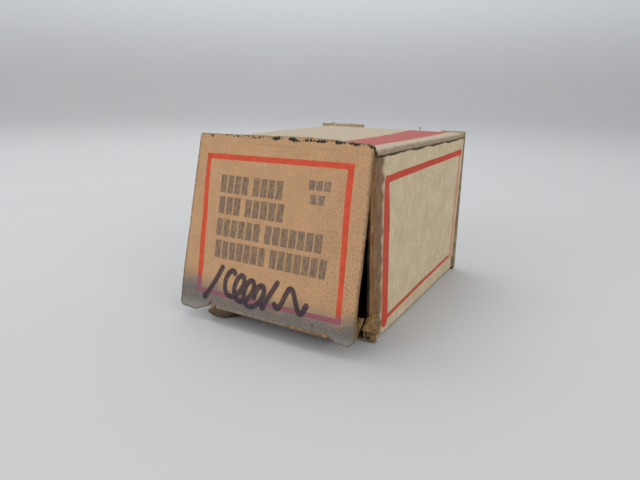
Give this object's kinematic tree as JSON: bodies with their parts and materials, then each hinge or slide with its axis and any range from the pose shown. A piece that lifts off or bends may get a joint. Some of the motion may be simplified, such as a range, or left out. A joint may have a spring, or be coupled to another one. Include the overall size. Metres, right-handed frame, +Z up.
{
  "type": "boxed selector switch",
  "caption": "Worn folding carton, its front end panel swung open, holding a 22 mm lever-operated three-position selector switch with two contact blocks.",
  "frame": {"origin": "centre of the carton's underside, on the surface it stands on", "axes": "+Z up; +Y from the open front end to the rear end, along the switch's axis; +X to the right seen from the front"},
  "size_m": [0.0536, 0.0757, 0.0483],
  "materials": {
    "cream_board": "worn cream clay-coated folding board, faded red print",
    "tan_board": "aged tan printed board, stained grey along its lower edge",
    "brown_board": "raw brown board",
    "bright_metal": "bright plated",
    "black_rubber": "matt",
    "black_plastic": "fine matt moulded",
    "grey_plastic": "fine matt moulded",
    "white_plastic": "smooth inlay",
    "natural_plastic": "natural nylon",
    "plated_steel": "zinc plated",
    "spring_steel": "spring steel",
    "contact_brass": "brass strip with contact tips"
  },
  "bodies": {
    "carton_sleeve": {"top_panel": "cream_board", "bottom_panel": "cream_board", "left_panel": "cream_board", "right_panel": "cream_board", "glue_flap": "cream_board"},
    "front_closure": {"front_closure_panel": "tan_board"},
    "front_tuck": {"front_tuck_flap": "tan_board"},
    "front_dust_left": {"front_dust_flap_left": "brown_board"},
    "front_dust_right": {"front_dust_flap_right": "brown_board"},
    "rear_closure": {"rear_closure_panel": "brown_board", "rear_tuck_flap": "brown_board"},
    "rear_dust_left": {"rear_dust_flap_left": "brown_board"},
    "rear_dust_right": {"rear_dust_flap_right": "brown_board"},
    "switch": {"bezel_ring": "bright_metal", "panel_gasket": "black_rubber", "mounting_bushing": "black_plastic", "locating_ring": "plated_steel", "panel_nut": "plated_steel", "mounting_adapter": "grey_plastic", "detent_spring": "spring_steel", "upper_block_housing": "grey_plastic", "upper_block_cover": "black_plastic", "upper_fixed_contacts": "contact_brass", "upper_terminal_clamps": "plated_steel", "upper_terminal_screws": "plated_steel", "upper_fixing_screws": "plated_steel", "upper_return_spring": "spring_steel", "lower_block_housing": "grey_plastic", "lower_block_cover": "black_plastic", "lower_fixed_contacts": "contact_brass", "lower_terminal_clamps": "plated_steel", "lower_terminal_screws": "plated_steel", "lower_fixing_screws": "plated_steel", "lower_return_spring": "spring_steel"},
    "lever": {"lever_handle": "black_plastic", "lever_pointer": "white_plastic", "lever_screw": "plated_steel", "shaft": "grey_plastic", "shaft_seal": "black_rubber", "shaft_clip": "spring_steel", "cam_rotor": "natural_plastic"},
    "upper_plunger": {"upper_push_rod": "natural_plastic", "upper_contact_carrier": "natural_plastic", "upper_contact_bridge": "contact_brass", "upper_contact_spring": "spring_steel"},
    "lower_plunger": {"lower_push_rod": "natural_plastic", "lower_contact_carrier": "natural_plastic", "lower_contact_bridge": "contact_brass", "lower_contact_spring": "spring_steel"}
  },
  "joints": [
    {"name": "front_closure_crease", "type": "hinge", "parent": "carton_sleeve", "child": "front_closure", "pos_m": [0, -0.032, 0.04615], "axis": [-1, 0, 0], "range_deg": [-14.4, 135]},
    {"name": "front_tuck_crease", "type": "hinge", "parent": "front_closure", "child": "front_tuck", "pos_m": [0, -0.04271, 0.00445], "axis": [-1, 0, 0], "range_deg": [0, 90]},
    {"name": "front_dust_left_crease", "type": "hinge", "parent": "carton_sleeve", "child": "front_dust_left", "pos_m": [-0.0246, -0.03135, 0], "axis": [0, 0, -1], "range_deg": [-13, 122]},
    {"name": "front_dust_right_crease", "type": "hinge", "parent": "carton_sleeve", "child": "front_dust_right", "pos_m": [0.0234, -0.03135, 0], "axis": [0, 0, 1], "range_deg": [-16, 149]},
    {"name": "rear_closure_crease", "type": "hinge", "parent": "carton_sleeve", "child": "rear_closure", "pos_m": [0, 0.032, 0.00025], "axis": [-1, 0, 0], "range_deg": [0, 90]},
    {"name": "rear_dust_left_crease", "type": "hinge", "parent": "carton_sleeve", "child": "rear_dust_left", "pos_m": [-0.0246, 0.03135, 0], "axis": [0, 0, 1], "range_deg": [0, 90]},
    {"name": "rear_dust_right_crease", "type": "hinge", "parent": "carton_sleeve", "child": "rear_dust_right", "pos_m": [0.0246, 0.03135, 0], "axis": [0, 0, -1], "range_deg": [0, 90]},
    {"name": "switch_shift", "type": "slide", "parent": "carton_sleeve", "child": "switch", "axis": [0, -1, 0], "range_m": [-0.0015, 0.0015]},
    {"name": "lever_turn", "type": "hinge", "parent": "switch", "child": "lever", "pos_m": [0, 0, 0.0154], "axis": [0, 1, 0], "range_deg": [-60, 60], "deforming": ["detent_spring"]},
    {"name": "upper_plunger_stroke", "type": "slide", "parent": "switch", "child": "upper_plunger", "axis": [0, 1, 0], "range_m": [-0.00181, 0.00181], "deforming": ["upper_return_spring"]},
    {"name": "lower_plunger_stroke", "type": "slide", "parent": "switch", "child": "lower_plunger", "axis": [0, 1, 0], "range_m": [-0.00181, 0.00181], "deforming": ["lower_return_spring"]}
  ],
  "couplings": [
    {"joint": "front_dust_left_crease", "follows": "front_closure_crease", "ratio": 0.9},
    {"joint": "front_dust_right_crease", "follows": "front_closure_crease", "ratio": 1.1},
    {"joint": "rear_dust_left_crease", "follows": "rear_closure_crease", "ratio": 1},
    {"joint": "rear_dust_right_crease", "follows": "rear_closure_crease", "ratio": 1},
    {"joint": "upper_plunger_stroke", "follows": "lever_turn", "m_per_rad": 0.0017189},
    {"joint": "lower_plunger_stroke", "follows": "lever_turn", "m_per_rad": -0.0017189}
  ]
}
